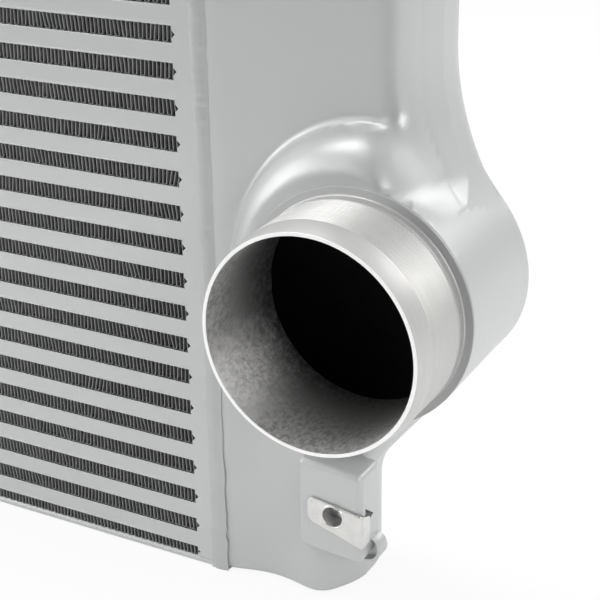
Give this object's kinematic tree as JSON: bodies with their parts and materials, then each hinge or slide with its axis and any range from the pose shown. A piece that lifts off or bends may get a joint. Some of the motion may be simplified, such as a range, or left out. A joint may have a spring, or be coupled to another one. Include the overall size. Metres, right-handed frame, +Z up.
{
  "type": "intercooler",
  "caption": "Bar-and-plate charge-air cooler: finned core between two cast end tanks, each with a round hose neck and a bracket tab with a clip nut.",
  "frame": {"origin": "middle of the underside of the core, half way between the two tanks and half way through its depth", "axes": "+Z up across the rows, +X along the rows to the tank that the picture shows, -Y the side that the hose necks point to"},
  "size_m": [0.8928, 0.1021, 0.3259],
  "materials": {
    "silver_paint": "smooth silver paint",
    "bare_fin": "dull dark folded strip",
    "plated_steel": "bright zinc-plated spring steel"
  },
  "bodies": {
    "root": {"end_tank_right": "silver_paint", "end_tank_left": "silver_paint", "weld_bead_right": "silver_paint", "weld_bead_left": "silver_paint", "side_plate_bottom": "silver_paint", "side_plate_top": "silver_paint", "closing_bars_right": "silver_paint", "closing_bars_left": "silver_paint", "charge_tube_01": "silver_paint", "charge_tube_02": "silver_paint", "charge_tube_03": "silver_paint", "charge_tube_04": "silver_paint", "charge_tube_05": "silver_paint", "charge_tube_06": "silver_paint", "charge_tube_07": "silver_paint", "charge_tube_08": "silver_paint", "charge_tube_09": "silver_paint", "charge_tube_10": "silver_paint", "charge_tube_11": "silver_paint", "charge_tube_12": "silver_paint", "charge_tube_13": "silver_paint", "charge_tube_14": "silver_paint", "charge_tube_15": "silver_paint", "charge_tube_16": "silver_paint", "charge_tube_17": "silver_paint", "charge_tube_18": "silver_paint", "charge_tube_19": "silver_paint", "charge_tube_20": "silver_paint", "charge_tube_21": "silver_paint", "charge_tube_22": "silver_paint", "charge_tube_23": "silver_paint", "charge_tube_24": "silver_paint", "charge_tube_25": "silver_paint", "fin_row_01": "bare_fin", "fin_row_02": "bare_fin", "fin_row_03": "bare_fin", "fin_row_04": "bare_fin", "fin_row_05": "bare_fin", "fin_row_06": "bare_fin", "fin_row_07": "bare_fin", "fin_row_08": "bare_fin", "fin_row_09": "bare_fin", "fin_row_10": "bare_fin", "fin_row_11": "bare_fin", "fin_row_12": "bare_fin", "fin_row_13": "bare_fin", "fin_row_14": "bare_fin", "fin_row_15": "bare_fin", "fin_row_16": "bare_fin", "fin_row_17": "bare_fin", "fin_row_18": "bare_fin", "fin_row_19": "bare_fin", "fin_row_20": "bare_fin", "fin_row_21": "bare_fin", "fin_row_22": "bare_fin", "fin_row_23": "bare_fin", "fin_row_24": "bare_fin", "fin_row_25": "bare_fin", "fin_row_26": "bare_fin", "clip_nuts": "plated_steel"}
  },
  "joints": []
}
